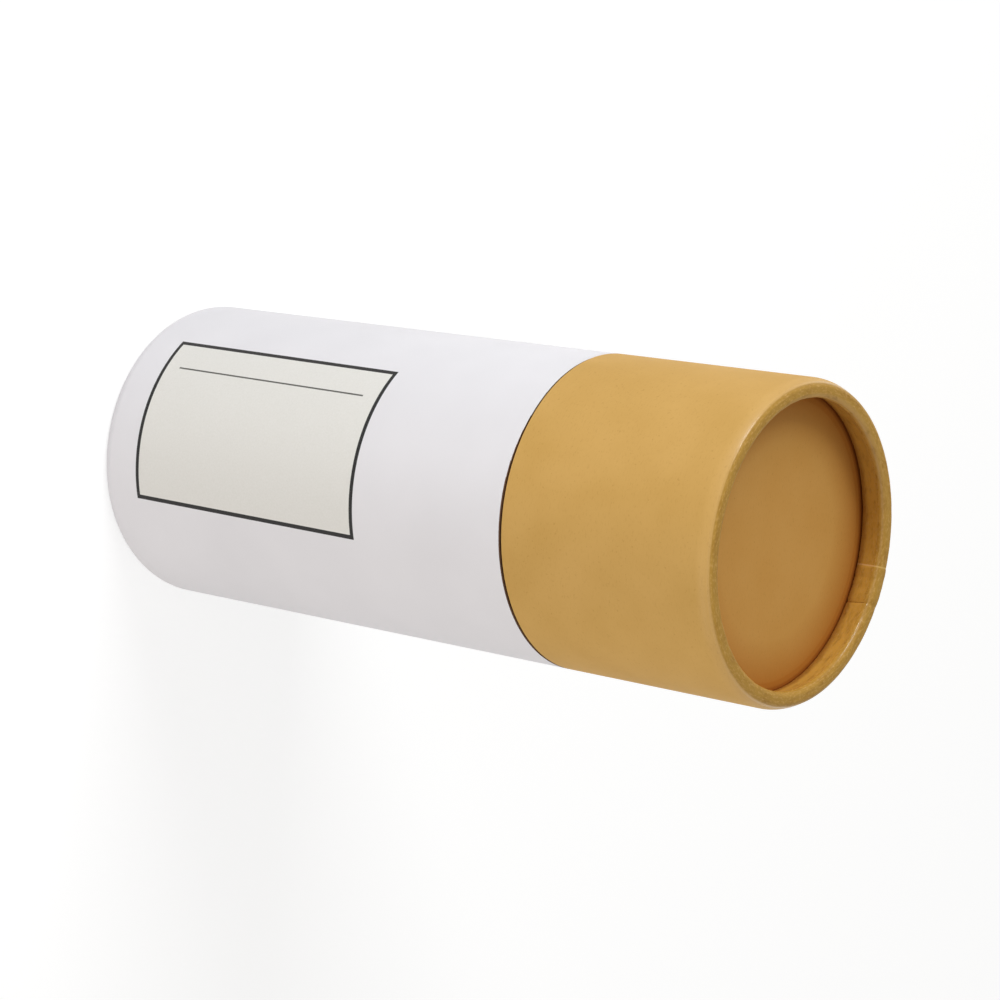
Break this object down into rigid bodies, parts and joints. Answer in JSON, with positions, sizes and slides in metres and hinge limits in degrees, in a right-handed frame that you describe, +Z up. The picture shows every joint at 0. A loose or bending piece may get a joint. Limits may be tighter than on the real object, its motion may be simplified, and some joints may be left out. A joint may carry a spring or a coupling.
{
  "type": "round cardboard gift box",
  "caption": "Round cardboard gift box: white paper-wrapped base tube with an inner neck and a kraft lift-off lid of the same diameter, each closed end rolled over a recessed disc.",
  "frame": {"origin": "on the tube's axis, in the plane that the base's rolled rim stands on", "axes": "+Z up along the tube's axis, from the base to the lid; the printed panel is on the -Y side"},
  "size_m": [0.08, 0.08, 0.2],
  "materials": {
    "white_paper": "matte",
    "kraft_paper": "matte",
    "kraft_board": "matte",
    "cream_print": "matte",
    "black_print": "matte"
  },
  "bodies": {
    "base": {"base_tube": "white_paper", "base_disc": "white_paper", "neck_tube": "kraft_board"},
    "lid": {"lid_tube": "kraft_paper", "lid_disc": "kraft_paper"}
  },
  "joints": [
    {"name": "lid_lift", "type": "slide", "parent": "base", "child": "lid", "axis": [0, 0, 1], "range_m": [0, 0.05]}
  ]
}
